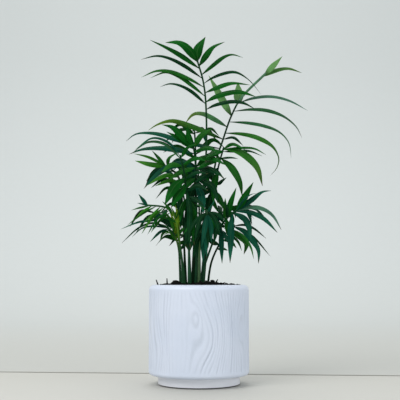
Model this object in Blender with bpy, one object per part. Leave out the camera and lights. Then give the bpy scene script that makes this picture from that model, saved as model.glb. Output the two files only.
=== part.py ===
"""Potted bamboo palm: a white round planter, its soil and the fronds that stand in it.

Metres, +Z up. The origin is the middle of the pot's flat foot, and the front is towards -Y.
Fronds are laid out in millimetres on the front elevation, with a depth for each point.
"""

import math
import random

import bpy
from mathutils import Vector
from mathutils.bvhtree import BVHTree

MM = 0.001

# Pot
POT_WIDTH = 0.150
POT_HEIGHT = 0.1475
RIM_OPENING = 0.130
SHOULDER_DROP = 0.0075
SHOULDER_IN = 0.0085
LOWER_EDGE_ROUND = 0.0052
FOOT_WIDTH = 0.122
FOOT_HEIGHT = 0.0147
FOOT_EDGE = 0.0018
CAVITY_FLOOR = 0.022
CAVITY_TAPER = 0.004
POT_SIDES = 56
LOWER_EDGE_STEPS = 3
SHOULDER_STEPS = 4
SHARP_ANGLE = 35

# Soil
GAP = 0.0003
SOIL_EDGE = 0.1464
SOIL_MOUND = 0.0022
SOIL_LUMP = 0.0010
LUMP_WAVES = ((210, 170, 1.0), (330, -290, 0.6))
SOIL_SIDES = 32
SOIL_RINGS = 4

# Stems
STEM_RADIUS = 0.0017
STEM_TIP_RADIUS = 0.0013
STEM_SIDES = 5
STEM_STEP = 0.024
STEM_FOOT = 0.115
SOIL_LINE = 152
HOLE_RADIUS = STEM_RADIUS / math.cos(math.pi / STEM_SIDES) + GAP
HOLE_SIDES = 6
HOLE_ABOVE = 0.020

# Leaflets
BLADE_THICKNESS = 0.0007
BLADE_STATIONS = ((0.0, 0.30), (0.18, 0.78), (0.44, 1.0), (0.74, 0.60), (1.0, 0.12))
COURSE_STEP = 4
GUARD_WIDTH = 0.0016
GUARD_THICKNESS = 0.0018
GUARD_ROOT = 0.16
ROOT_SINK = 2.5
DEPTH_STEP = 6
DEPTH_STEPS = 9
LIFTS = (8, -8, 16, -16, 24)

# Finishes: colour and roughness
GLAZE = ((0.66, 0.71, 0.79), 0.30)
POTTING_SOIL = ((0.012, 0.014, 0.012), 0.95)
LEAF_GREEN = ((0.02, 0.12, 0.02), 0.50)

# The eye that the front elevation is drawn for
EYE = Vector((0.0016, -1.250, 0.156))

# Fronds drawn on the front elevation: the name, the stem from the soil to its tip as (across,
# depth, up), the height where leaflets begin, how far the tips of its left and right leaflets
# stand off in depth, the way that its leaflets face, and its leaflets. A leaflet is its share of
# the leafy stem, its width, and the course of its middle line to the tip as (across, up). All
# lengths are millimetres.
FACING_FRONT = (0.0, -0.88, 0.47)
FACING_UP = (0.0, -0.60, 0.80)

DRAWN_FRONDS = [
    (
        "frond_tall_front",
        [(-5, -4, 152), (-3, -5, 198), (4, -6, 258), (11, -8, 348), (11, -12, 415),
         (7, -18, 457), (-3, -28, 494)],
        348, (-24, -20), FACING_FRONT,
        [(0.99, 15, (-15, 510), (-32, 521), (-52, 521)),
         (0.91, 9.5, (-22, 497), (-48, 512), (-76, 525)),
         (0.80, 7.5, (-20, 483), (-45, 496), (-66, 500), (-90, 494)),
         (0.70, 7.5, (-15, 464), (-42, 475), (-66, 476), (-89, 466)),
         (0.60, 7, (-10, 453), (-30, 467), (-52, 474), (-75, 465)),
         (0.52, 7, (-10, 443), (-28, 453), (-45, 456), (-60, 451)),
         (1.00, 15.5, (-2, 510), (10, 530)),
         (0.94, 11, (10, 500), (22, 514), (40, 522)),
         (0.84, 8, (20, 484), (38, 498), (52, 502), (68, 497)),
         (0.74, 6.5, (20, 465), (40, 473), (58, 474), (78, 461), (96, 439)),
         (0.64, 9, (25, 449), (50, 457), (79, 454)),
         (0.54, 11, (25, 436), (45, 442), (65, 443), (89, 435)),
         (0.46, 8, (25, 423), (48, 428), (68, 426), (87, 416))],
    ),
    (
        "frond_tall_back",
        [(7, 11, 152), (11, 15, 198), (16, 20, 258), (24, 26, 326), (37, 31, 369),
         (50, 35, 406), (67, 40, 436), (103, 48, 472)],
        326, (14, -14), FACING_FRONT,
        [(1.00, 10.5, (112, 482), (129, 499)),
         (0.97, 8, (118, 477), (138, 480), (159, 473)),
         (0.64, 6, (85, 434), (112, 436), (140, 429), (167, 414)),
         (0.55, 6.5, (80, 416), (106, 414), (130, 405), (149, 389), (158, 371)),
         (0.44, 6.5, (75, 395), (101, 390), (124, 380), (138, 363), (141, 340)),
         (0.33, 8.5, (65, 378), (90, 372), (112, 359), (122, 341), (119, 325), (109, 313)),
         (0.27, 5, (53, 372), (68, 359)),
         (0.63, 11.5, (61, 443), (60, 458)),
         (0.50, 12.5, (38, 428), (27, 448), (15, 469)),
         (0.39, 9, (25, 400), (7, 409), (-9, 408), (-21, 394)),
         (0.27, 10, (15, 379), (-12, 390), (-40, 398), (-62, 393), (-78, 383)),
         (0.18, 9, (2, 360), (-33, 369), (-65, 378), (-95, 378), (-112, 366)),
         (0.12, 8, (18, 344), (5, 336))],
    ),
    (
        "frond_upper_left",
        [(-9, -2, 152), (-8, -6, 198), (-6, -14, 258), (-5, -24, 308), (-6, -30, 340),
         (-9, -34, 360)],
        298, (-12, -26), FACING_FRONT,
        [(1.00, 8, (-16, 376), (-18, 390)),
         (0.99, 10, (2, 374), (20, 386)),
         (0.98, 11, (-28, 377), (-41, 388), (-57, 392)),
         (0.94, 8, (-31, 371), (-50, 381)),
         (0.82, 9, (-32, 353), (-60, 356), (-86, 354), (-107, 346)),
         (0.88, 9, (12, 356), (31, 350)),
         (0.65, 9.5, (-27, 333), (-50, 325), (-70, 310), (-84, 293)),
         (0.70, 9, (18, 341), (42, 329)),
         (0.46, 8, (-25, 320), (-46, 307)),
         (0.46, 9, (16, 324), (38, 310)),
         (0.20, 8, (-20, 298), (-34, 284)),
         (0.20, 9, (8, 304), (22, 295), (29, 270)),
         (0.10, 10, (-13, 282), (-17, 253)),
         (0.06, 10, (4, 282), (7, 254))],
    ),
    (
        "frond_middle_left",
        [(-14, -10, 152), (-15, -16, 198), (-17, -28, 258), (-20, -40, 298), (-24, -50, 324),
         (-29, -57, 345)],
        270, (-18, -20), FACING_FRONT,
        [(1.00, 4.5, (-46, 364), (-72, 371), (-98, 353)),
         (0.94, 5.5, (-50, 361), (-78, 365), (-102, 348)),
         (0.97, 7, (-18, 356), (-4, 362)),
         (0.80, 9, (-42, 330), (-58, 317)),
         (0.82, 8, (-6, 340), (12, 335)),
         (0.54, 15, (-36, 298), (-45, 283), (-52, 268)),
         (0.52, 7, (-4, 318), (14, 316)),
         (0.37, 14, (-33, 282), (-42, 264)),
         (0.26, 9, (-2, 298), (14, 290)),
         (0.12, 9, (-26, 261), (-29, 242)),
         (0.15, 9, (-6, 277), (8, 267)),
         (0.02, 9, (-18, 242), (-20, 204)),
         (0.22, 8, (-8, 260), (-9, 226), (-7, 207)),
         (0.30, 8.5, (-14, 260), (-15, 228), (-13, 202))],
    ),
    (
        "frond_side_left",
        [(-20, 2, 152), (-22, 0, 198), (-24, -6, 248), (-27, -12, 290), (-31, -15, 311),
         (-44, -22, 324), (-53, -26, 329)],
        283, (-8, -22), FACING_FRONT,
        [(1.00, 10, (-75, 331), (-98, 336)),
         (0.97, 5.5, (-75, 341), (-100, 347)),
         (0.98, 6, (-64, 343), (-72, 352)),
         (0.94, 6, (-46, 340), (-32, 349)),
         (0.50, 8.5, (-49, 314), (-64, 308), (-79, 298)),
         (0.36, 7, (-45, 306), (-67, 297)),
         (0.60, 7, (-22, 328), (-12, 336)),
         (0.30, 8, (-16, 311), (-3, 317)),
         (0.05, 7, (-34, 285), (-38, 276)),
         (0.02, 8, (-12, 292), (4, 295)),
         (0.12, 9, (-29, 264), (-27, 230))],
    ),
    (
        "frond_low_left",
        [(-22, -14, 152), (-25, -17, 179), (-28, -22, 201), (-31, -28, 224), (-36, -33, 248),
         (-50, -40, 264), (-80, -50, 268)],
        234, (-14, -30), FACING_FRONT,
        [(1.00, 6.5, (-85, 276), (-92, 285)),
         (0.98, 3.5, (-87, 270), (-94, 271)),
         (0.95, 3.5, (-90, 264), (-103, 260)),
         (0.90, 4, (-86, 258), (-96, 248)),
         (0.80, 4, (-86, 255), (-109, 237)),
         (0.50, 4.5, (-64, 247), (-92, 242), (-119, 231)),
         (0.62, 4.5, (-72, 248), (-87, 224)),
         (0.46, 4, (-64, 246), (-78, 223)),
         (0.40, 4, (-58, 246), (-73, 226)),
         (0.70, 4, (-70, 254), (-84, 241)),
         (0.30, 5, (-46, 264), (-56, 274)),
         (0.20, 7, (-28, 266), (-20, 279)),
         (0.02, 4.5, (-32, 250), (-36, 268)),
         (0.05, 4, (-28, 250), (-26, 267)),
         (0.08, 4, (-37, 254), (-43, 266)),
         (0.10, 5, (-45, 248), (-62, 248))],
    ),
    (
        "frond_lowest_left",
        [(-28, -4, 152), (-29, -8, 179), (-31, -14, 203), (-38, -20, 224), (-50, -28, 235)],
        194, (-12, -22), FACING_FRONT,
        [(1.00, 3.5, (-68, 241), (-92, 233), (-117, 210)),
         (0.97, 3.5, (-66, 236), (-86, 233), (-102, 219)),
         (0.95, 4, (-59, 238), (-71, 240)),
         (0.92, 4.5, (-58, 228), (-74, 212)),
         (0.85, 4.5, (-54, 226), (-59, 213)),
         (0.68, 5, (-41, 241), (-54, 261)),
         (0.62, 4.5, (-37, 239), (-46, 262)),
         (0.56, 4.5, (-34, 236), (-38, 258)),
         (0.52, 4, (-48, 234), (-66, 241)),
         (0.46, 4.5, (-31, 230), (-30, 253)),
         (0.58, 6, (-26, 230), (-17, 238)),
         (0.42, 4, (-44, 226), (-54, 222)),
         (0.34, 8, (-20, 211), (-15, 197)),
         (0.10, 6.5, (-22, 208), (-10, 224))],
    ),
    (
        "frond_middle_right",
        [(4, 2, 152), (8, -2, 198), (13, -8, 248), (20, -14, 283), (26, -17, 304),
         (30, -20, 328), (38, -26, 357)],
        288, (-24, -18), FACING_FRONT,
        [(0.99, 11, (56, 353), (75, 342), (90, 324), (97, 297)),
         (0.78, 10, (50, 326), (62, 304), (66, 281)),
         (0.97, 4.5, (60, 356), (84, 355), (103, 345)),
         (0.93, 4.5, (60, 351), (78, 351), (97, 343)),
         (0.78, 4, (48, 341), (60, 339)),
         (1.00, 6, (52, 362), (71, 353)),
         (0.95, 10, (25, 350), (11, 340)),
         (0.80, 9, (14, 333), (-4, 323)),
         (0.55, 9, (12, 315), (-7, 302)),
         (0.50, 9, (23, 298), (22, 270)),
         (0.18, 7, (32, 303), (42, 310)),
         (0.22, 9, (10, 288), (-4, 278)),
         (0.05, 9, (32, 276), (39, 260)),
         (0.10, 10, (15, 268), (12, 238))],
    ),
    (
        "frond_low_right",
        [(6, -8, 152), (8, -12, 174), (15, -18, 195), (25, -24, 220), (40, -32, 245),
         (59, -40, 261)],
        220, (-26, -16), FACING_FRONT,
        [(0.99, 11.5, (69, 280), (83, 303)),
         (0.66, 9, (47, 268), (57, 295)),
         (1.00, 9, (81, 277), (96, 288), (110, 290)),
         (0.97, 4, (69, 277), (79, 284), (88, 286)),
         (1.00, 7, (80, 265), (98, 262), (113, 251), (125, 230)),
         (0.96, 8.5, (76, 258), (99, 247), (119, 226)),
         (0.92, 10, (69, 248), (76, 234), (79, 213)),
         (0.55, 7, (40, 263), (40, 279)),
         (0.62, 8, (43, 236), (44, 219)),
         (0.35, 7, (18, 245), (8, 260)),
         (0.84, 10.5, (49, 240), (48, 212), (47, 180)),
         (0.10, 7, (12, 230), (4, 240)),
         (0.32, 8, (34, 212), (35, 179)),
         (0.48, 7.5, (28, 234), (22, 208)),
         (0.44, 5.5, (33, 256), (25, 268)),
         (0.64, 5, (42, 266), (31, 279)),
         (0.24, 6.5, (37, 226), (45, 210))],
    ),
    (
        "frond_lowest_right",
        [(14, -2, 152), (16, -5, 168), (20, -9, 185), (29, -14, 205), (40, -18, 224),
         (54, -24, 238)],
        194, (-14, -12), FACING_FRONT,
        [(0.99, 4.5, (69, 238), (84, 232), (102, 217)),
         (0.98, 10, (68, 229), (80, 216), (90, 200), (90, 179)),
         (0.80, 11, (62, 221), (72, 210), (68, 193)),
         (0.70, 4.5, (58, 214), (65, 198)),
         (0.88, 5, (66, 222), (78, 205), (83, 186)),
         (1.00, 4, (82, 220), (108, 190)),
         (0.95, 7, (50, 251), (44, 262)),
         (0.60, 9, (27, 230), (20, 244)),
         (0.45, 7, (47, 214), (57, 202)),
         (0.30, 9, (20, 213), (12, 224)),
         (0.15, 5.5, (35, 202), (44, 199))],
    ),
    (
        "frond_centre",
        [(0, -14, 152), (1, -22, 198), (5, -36, 234), (10, -54, 254), (12, -72, 260),
         (12, -88, 254)],
        213, (-10, -10), FACING_UP,
        [(1.00, 7.5, (9, 234), (4, 204)),
         (0.98, 7.5, (18, 238), (19, 210)),
         (0.88, 7, (1, 244), (-6, 215)),
         (0.85, 7.5, (23, 249), (32, 224)),
         (0.72, 7, (-4, 246), (-15, 225)),
         (0.70, 7, (26, 256), (42, 241)),
         (0.56, 7.5, (-10, 241), (-25, 222)),
         (0.50, 7, (13, 234), (14, 202)),
         (0.36, 7.5, (-6, 224), (-14, 197)),
         (0.30, 7, (10, 214), (12, 187)),
         (0.18, 7.5, (-4, 210), (-9, 187)),
         (0.12, 7, (6, 206), (6, 181)),
         (0.62, 7, (18, 266), (25, 277)),
         (0.44, 7, (-4, 260), (-15, 279)),
         (0.24, 7, (1, 212), (-2, 185)),
         (0.80, 6.5, (4, 266), (-6, 270)),
         (0.06, 7, (-2, 226), (-10, 238))],
    ),
]

# Fronds that arch away by rule: the name, the foot in the soil as (across, depth), the compass
# heading in degrees (0 is away from the viewer, 90 is to the right), how far out and how high the
# tip comes, the share of the stem that is bare, the leaflet pairs and their longest length.
ARCHING_FRONDS = [
    ("frond_back_high", (-3, 20), -6, 58, 383, 0.58, 6, 58),
    ("frond_back_left", (-14, 16), -22, 92, 320, 0.50, 6, 54),
    ("frond_back_right", (1, 22), -2, 98, 324, 0.50, 6, 38),
    ("frond_back_low_left", (-24, 14), -38, 68, 256, 0.42, 5, 48),
    ("frond_back_low_right", (6, 20), 52, 79, 265, 0.44, 5, 50),
    ("frond_back_low", (-6, 28), 4, 84, 248, 0.42, 5, 56),
]

# The stem of an arching frond, as shares of how far out and how high it has come
ARCH_STEM = ((0.0, 0.0), (0.06, 0.38), (0.26, 0.76), (0.60, 0.98), (1.0, 1.0))

# Its leaflets: the first pair's place in a spacing, the stagger within a pair, the splay in degrees
# near the soil and its growth towards the tip, the shortest length as a share of the longest, the
# width, the bow and its place, the droop, and how much a leaflet faces ahead, up and outwards
ARCH_FIRST = 0.3
ARCH_STAGGER = 0.012
ARCH_SPLAY = (22, 34)
ARCH_SHORTEST = 0.74
ARCH_WIDTH = 10
ARCH_BOW = 14
ARCH_BOW_PLACE = 0.58
ARCH_DROOP = 24
ARCH_FACING = (0.62, 0.78, 0.2)
ARCH_VARIES = {"splay": 5, "length": 0.07, "droop": 7, "bow": 3, "width": 1}


def clear_scene():
    """Empties the scene that the part is built in."""
    for item in list(bpy.data.objects):
        bpy.data.objects.remove(item, do_unlink=True)


def material(name, colour, roughness):
    """One opaque, non-metallic surface."""
    made = bpy.data.materials.new(name)
    made.use_nodes = True
    shader = made.node_tree.nodes["Principled BSDF"]
    shader.inputs["Base Color"].default_value = (*colour, 1.0)
    shader.inputs["Roughness"].default_value = roughness
    shader.inputs["Metallic"].default_value = 0.0
    made.diffuse_color = (*colour, 1.0)
    return made


def add_object(name, vertices, faces, surface=None):
    """A mesh object with the given points and faces."""
    mesh = bpy.data.meshes.new(name)
    mesh.from_pydata([tuple(v) for v in vertices], [], faces)
    mesh.update()
    made = bpy.data.objects.new(name, mesh)
    bpy.context.scene.collection.objects.link(made)
    if surface:
        mesh.materials.append(surface)
    return made


def move_to(item, collection):
    """Puts an object in one collection and takes it out of the others."""
    for holder in list(item.users_collection):
        holder.objects.unlink(item)
    collection.objects.link(item)


def seen(point):
    """Carries (across, depth, up) of the front elevation to where the eye sees it at that depth."""
    flat = Vector((point.x, 0.0, point.z)) * MM
    return EYE + (flat - EYE) * ((point.y * MM - EYE.y) / -EYE.y)


def arc(centre, start, end, radii, steps):
    """Points of a quarter round or another arc, in degrees, with a radius across and one up."""
    points = []
    for i in range(steps + 1):
        angle = math.radians(start + (end - start) * i / steps)
        points.append((centre[0] + radii[0] * math.cos(angle), centre[1] + radii[1] * math.sin(angle)))
    return points


def pot_profile():
    """Half section of the pot, from the middle of its underside to the middle of its cavity."""
    wall = POT_WIDTH / 2
    foot = FOOT_WIDTH / 2
    opening = RIM_OPENING / 2
    lower = arc(
        (wall - LOWER_EDGE_ROUND, FOOT_HEIGHT + LOWER_EDGE_ROUND),
        -90, 0, (LOWER_EDGE_ROUND, LOWER_EDGE_ROUND), LOWER_EDGE_STEPS,
    )
    shoulder = arc(
        (wall - SHOULDER_IN, POT_HEIGHT - SHOULDER_DROP),
        0, 90, (SHOULDER_IN, SHOULDER_DROP), SHOULDER_STEPS,
    )
    return [
        (0.0, 0.0),
        (foot - FOOT_EDGE, 0.0),
        (foot, FOOT_EDGE),
        (foot, FOOT_HEIGHT),
        *lower,
        *shoulder,
        (opening, POT_HEIGHT - (wall - SHOULDER_IN - opening)),
        (opening - CAVITY_TAPER, CAVITY_FLOOR),
        (0.0, CAVITY_FLOOR),
    ]


def turned(name, profile, sides, surface):
    """Turns a half section, given from pole to pole, round the Z axis."""
    first, last = profile[0], profile[-1]
    rings = profile[1:-1]
    vertices = [Vector((0.0, 0.0, first[1])), Vector((0.0, 0.0, last[1]))]
    for radius, height in rings:
        for side in range(sides):
            angle = 2 * math.pi * side / sides
            vertices.append(Vector((radius * math.cos(angle), radius * math.sin(angle), height)))

    def at(ring, side):
        return 2 + ring * sides + side % sides

    faces = []
    for side in range(sides):
        faces.append((0, at(0, side + 1), at(0, side)))
        faces.append((1, at(len(rings) - 1, side), at(len(rings) - 1, side + 1)))
        for ring in range(len(rings) - 1):
            faces.append((at(ring, side), at(ring, side + 1), at(ring + 1, side + 1), at(ring + 1, side)))
    return add_object(name, vertices, faces, surface)


def make_pot():
    """The planter: shoulder, straight wall, rounded lower edge and recessed foot."""
    pot = turned("pot", pot_profile(), POT_SIDES, material("pot_glaze", *GLAZE))
    pot.data.shade_smooth()
    pot.data.set_sharp_from_angle(angle=math.radians(SHARP_ANGLE))


def soil_height(x, y):
    """Height of the soil's top: a low mound with lumps."""
    out = math.hypot(x, y) / (RIM_OPENING / 2)
    lump = sum(size * math.sin(a * x + 1) * math.cos(b * y) for a, b, size in LUMP_WAVES)
    return SOIL_EDGE + SOIL_MOUND * (1 - out**2) + SOIL_LUMP * lump * (1 - out**4)


def make_soil(stems):
    """The soil that fills the pot, with a plain round hole for each stem."""
    top = RIM_OPENING / 2 - GAP * 2
    bottom = top - CAVITY_TAPER
    floor = CAVITY_FLOOR + GAP
    vertices = [Vector((0.0, 0.0, floor)), Vector((0.0, 0.0, soil_height(0.0, 0.0)))]
    rings = [(bottom, None)] + [(top * (1 - i / SOIL_RINGS), i) for i in range(SOIL_RINGS)]
    for radius, level in rings:
        for side in range(SOIL_SIDES):
            angle = 2 * math.pi * side / SOIL_SIDES
            x, y = radius * math.cos(angle), radius * math.sin(angle)
            vertices.append(Vector((x, y, floor if level is None else soil_height(x, y))))

    def at(ring, side):
        return 2 + ring * SOIL_SIDES + side % SOIL_SIDES

    faces = []
    for side in range(SOIL_SIDES):
        faces.append((0, at(0, side + 1), at(0, side)))
        faces.append((1, at(len(rings) - 1, side), at(len(rings) - 1, side + 1)))
        for ring in range(len(rings) - 1):
            a, b = at(ring, side), at(ring, side + 1)
            c, d = at(ring + 1, side + 1), at(ring + 1, side)
            faces += [(a, b, c), (a, c, d)]
    soil = add_object("soil", vertices, faces, material("potting_soil", *POTTING_SOIL))
    holes = bpy.data.collections.new("stem_holes")
    depth = SOIL_EDGE + HOLE_ABOVE - (STEM_FOOT - GAP)
    for stem in stems:
        bpy.ops.mesh.primitive_cylinder_add(
            vertices=HOLE_SIDES,
            radius=HOLE_RADIUS / math.cos(math.pi / HOLE_SIDES),
            depth=depth,
            location=(stem[0].x, stem[0].y, STEM_FOOT - GAP + depth / 2),
        )
        move_to(bpy.context.active_object, holes)
    fuse(soil, holes, "DIFFERENCE")


def fuse(target, others, operation):
    """Applies one Boolean of a collection to an object, then removes the collection's objects."""
    boolean = target.modifiers.new("fuse", "BOOLEAN")
    boolean.operation = operation
    boolean.operand_type = "COLLECTION"
    boolean.collection = others
    boolean.solver = "EXACT"
    graph = bpy.context.evaluated_depsgraph_get()
    made = bpy.data.meshes.new_from_object(target.evaluated_get(graph))
    target.modifiers.clear()
    old = target.data
    target.data = made
    made.name = target.name
    bpy.data.meshes.remove(old)
    for item in list(others.objects):
        bpy.data.objects.remove(item, do_unlink=True)
    bpy.data.collections.remove(others)


def curve_through(points, step):
    """Points along a smooth curve through the given ones, about one step apart."""
    guide = [points[0] * 2 - points[1], *points, points[-1] * 2 - points[-2]]
    out = []
    for a, b, c, d in zip(guide, guide[1:], guide[2:], guide[3:]):
        pieces = max(1, round((c - b).length / step))
        for i in range(pieces):
            t = i / pieces
            out.append(
                (b * 2 + (c - a) * t + (a * 2 - b * 5 + c * 4 - d) * t**2
                 + (b * 3 - a - c * 3 + d) * t**3) * 0.5
            )
    return [*out, points[-1]]


def length_of(line):
    """Length of a line."""
    return sum((b - a).length for a, b in zip(line, line[1:]))


def point_at(line, distance):
    """Point at a distance along a line."""
    for a, b in zip(line, line[1:]):
        span = (b - a).length
        if distance <= span:
            return a.lerp(b, distance / span)
        distance -= span
    return line[-1]


def along(line, share):
    """Point at a share of a stem's length, where its end is left for roots to sink into."""
    return point_at(line, share * (length_of(line) - ROOT_SINK))


def above(line, height):
    """The part of a rising line from a given height on."""
    for i, (a, b) in enumerate(zip(line, line[1:])):
        if b.z > height:
            return [a.lerp(b, max(0.0, (height - a.z) / (b.z - a.z))), *line[i + 1 :]]
    return line[-2:]


def directions(line):
    """Unit tangent at each point of a line."""
    ends = zip([line[0], *line[:-1]], [*line[1:], line[-1]])
    return [(after - before).normalized() for before, after in ends]


def tube(line, radii, sides):
    """Points and faces of a closed tube along a line."""
    across = Vector((1.0, 0.0, 0.0))
    vertices = []
    for point, tangent, radius in zip(line, directions(line), radii):
        across = (across - tangent * across.dot(tangent)).normalized()
        other = tangent.cross(across)
        for side in range(sides):
            angle = 2 * math.pi * side / sides
            vertices.append(point + (across * math.cos(angle) + other * math.sin(angle)) * radius)
    faces = [tuple(reversed(range(sides))), tuple(range(len(vertices) - sides, len(vertices)))]
    for ring in range(len(line) - 1):
        for side in range(sides):
            a, b = ring * sides + side, ring * sides + (side + 1) % sides
            faces.append((a, b, b + sides, a + sides))
    return vertices, faces


def leaflet_line(row, shift, shares):
    """Middle line of a leaflet: shares of its length along its course, with its tip shifted."""
    root, tip = row["root"], row["course"][-1]
    whole = (tip - root).length
    course = [point + shift * ((point - root).length / whole) for point in row["course"]]
    line = curve_through([root, *course], COURSE_STEP)
    length = length_of(line)
    return [seen(point_at(line, length * share)) for share in shares]


def blade(line, width, thickness, extra, face, start=0.0):
    """Points and faces of a leaflet: a closed blade, cut alike into triangles on both faces."""
    tangents = directions(line)
    tangents[1] = tangents[0]
    vertices = []
    for point, tangent, (share, wide) in zip(line, tangents, BLADE_STATIONS):
        if share < start:
            continue
        side = tangent.cross(face).normalized()
        out = side * (width * wide + extra) / 2
        up = side.cross(tangent) * thickness / 2
        vertices += [point - out - up, point + out - up, point + out + up, point - out + up]
    last = len(vertices) - 1
    faces = [(0, 1, 2, 3), (last, last - 1, last - 2, last - 3), (1, 0, 4, 5), (0, 3, 7, 4)]
    faces += [(3, 2, 6, 7), (2, 1, 5, 6)]
    for ring in range(4, last - 3, 4):
        a, b, c, d = range(ring, ring + 4)
        faces += [(b, a, a + 4), (b, a + 4, b + 4), (d, c, d + 4), (c, c + 4, d + 4)]
        faces += [(a, d, d + 4), (a, d + 4, a + 4), (c, b, b + 4), (c, b + 4, c + 4)]
    return vertices, faces


def tree_of(shape):
    """Search tree of a shape, for finding where it would meet another."""
    return BVHTree.FromPolygons(*shape, epsilon=0.0)


def stem_shape(frond, extra):
    """Points and faces of a frond's stalk and rachis, a little wider where room is asked for."""
    line = frond["line"]
    count = len(line) - 1
    radii = [
        STEM_RADIUS + (STEM_TIP_RADIUS - STEM_RADIUS) * i / count + extra for i in range(count + 1)
    ]
    return tube(line, radii, STEM_SIDES)


def stem_line(flat):
    """A stem's line in metres, from its foot deep in the soil to its tip."""
    line = [seen(p) for p in flat]
    return [Vector((line[0].x, line[0].y, STEM_FOOT)), *line]


def lay_out_drawn(name, stem, leafy_from, reach, face, leaflets):
    """Works out a frond that is drawn on the elevation: its stem line and its leaflets."""
    flat = curve_through([Vector(p) for p in stem], STEM_STEP / MM)
    leafy = above(flat, leafy_from)
    rows = []
    for share, width, *places in leaflets:
        root = along(leafy, share)
        tip = places[-1]
        whole = math.dist(tip, (root.x, root.z))
        off = reach[0 if tip[0] < root.x else 1]
        course = []
        for across, up in places:
            depth = root.y + off * math.dist((across, up), (root.x, root.z)) / whole
            course.append(Vector((across, depth, up)))
        rows.append({"root": root, "course": course, "width": width * MM, "face": Vector(face)})
    return {"name": name, "line": stem_line(flat), "leaflets": rows}


def lay_out_arching(name, foot, heading, out, height, bare, pairs, longest):
    """Works out a frond that rises and arches away, with its leaflets in pairs."""
    draw = random.Random(name)

    def varied(key):
        return draw.uniform(-ARCH_VARIES[key], ARCH_VARIES[key])

    turn = math.radians(heading)
    ahead = Vector((math.sin(turn), math.cos(turn), 0.0))
    aside = Vector((math.cos(turn), -math.sin(turn), 0.0))
    upwards = Vector((0.0, 0.0, 1.0))
    start = Vector((*foot, SOIL_LINE))
    rise = upwards * (height - SOIL_LINE)
    guide = [start + ahead * out * forth + rise * high for forth, high in ARCH_STEM]
    flat = curve_through(guide, STEM_STEP / MM)
    rows = []
    for pair in range(pairs):
        place = (pair + ARCH_FIRST) / (pairs - 1 + ARCH_FIRST)
        for side in (-1, 1):
            share = min(1.0, bare + (1 - bare) * place + ARCH_STAGGER * side)
            root = along(flat, share)
            ahead_of = along(flat, min(1.0, share + ARCH_STAGGER))
            forward = (ahead_of - along(flat, share - ARCH_STAGGER)).normalized()
            splay = math.radians(ARCH_SPLAY[0] + ARCH_SPLAY[1] * (pair + 1) / pairs + varied("splay"))
            full = math.sin(math.pi * (pair + 1) / (pairs + 1))
            length = longest * (ARCH_SHORTEST + (1 - ARCH_SHORTEST) * full) * (1 + varied("length"))
            way = aside * side * math.cos(splay) + forward * math.sin(splay)
            tip = root + way * length - upwards * (ARCH_DROOP + varied("droop"))
            middle = root.lerp(tip, ARCH_BOW_PLACE) + upwards * (ARCH_BOW + varied("bow"))
            face = ahead * ARCH_FACING[0] + upwards * ARCH_FACING[1] + aside * side * ARCH_FACING[2]
            rows.append({"root": root, "course": [middle, tip],
                         "width": (ARCH_WIDTH + varied("width")) * MM, "face": face.normalized()})
    return {"name": name, "line": stem_line(flat), "leaflets": rows}


def tip_shifts():
    """Changes of depth and height that are tried for a leaflet's tip, the smallest first."""
    for lift in (0, *LIFTS):
        yield Vector((0.0, 0.0, lift))
        for step in range(1, DEPTH_STEPS + 1):
            yield Vector((0.0, step * DEPTH_STEP, lift))
            yield Vector((0.0, -step * DEPTH_STEP, lift))


def guard_of(row, line, start):
    """Search tree of a leaflet with room round it, from a share of its length on."""
    return tree_of(blade(line, row["width"], GUARD_THICKNESS, GUARD_WIDTH, row["face"], start))


def bend_clear(fronds):
    """Bends each leaflet's tip until it is clear of the other stems and of earlier leaflets."""
    shares = [share for share, _ in BLADE_STATIONS]
    stems = {f["name"]: tree_of(stem_shape(f, GUARD_THICKNESS / 2)) for f in fronds}
    whole = []
    for frond in fronds:
        others = [tree for name, tree in stems.items() if name != frond["name"]]
        others += whole
        own = []
        for row in frond["leaflets"]:
            for shift in tip_shifts():
                line = leaflet_line(row, shift, shares)
                guard = guard_of(row, line, 0.0)
                free = guard_of(row, line, GUARD_ROOT)
                if not any(guard.overlap(tree) for tree in others) and not any(
                    free.overlap(tree) for tree in own
                ):
                    break
            else:
                raise RuntimeError("no clear place for a leaflet of " + frond["name"])
            row["line"] = line
            own.append(free)
            whole.append(guard)


def make_frond(frond, surface):
    """One frond: its stem, with every leaflet's root sunk into it and fused."""
    made = add_object(frond["name"], *stem_shape(frond, 0.0), surface)
    leaflets = bpy.data.collections.new("leaflets")
    for row in frond["leaflets"]:
        shape = blade(row["line"], row["width"], BLADE_THICKNESS, 0.0, row["face"])
        item = add_object("leaflet", *shape, surface)
        move_to(item, leaflets)
    fuse(made, leaflets, "UNION")


def main():
    clear_scene()
    make_pot()
    fronds = [lay_out_drawn(*row) for row in DRAWN_FRONDS]
    fronds += [lay_out_arching(*row) for row in ARCHING_FRONDS]
    bend_clear(fronds)
    make_soil([frond["line"] for frond in fronds])
    for frond in fronds:
        make_frond(frond, material(frond["name"] + "_green", *LEAF_GREEN))


main()
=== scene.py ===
"""The looks of the potted bamboo palm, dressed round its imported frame.

Metres, +Z up. The origin is the middle of the pot's flat foot, and the front is towards -Y.
Fronds are laid out in millimetres on the front elevation, with a depth for each point.
"""

import random
from math import atan, cos, dist, exp, hypot, pi, radians, sin, sqrt, tau

import bmesh
import bpy
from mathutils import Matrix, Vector, noise
from mathutils.kdtree import KDTree


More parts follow.
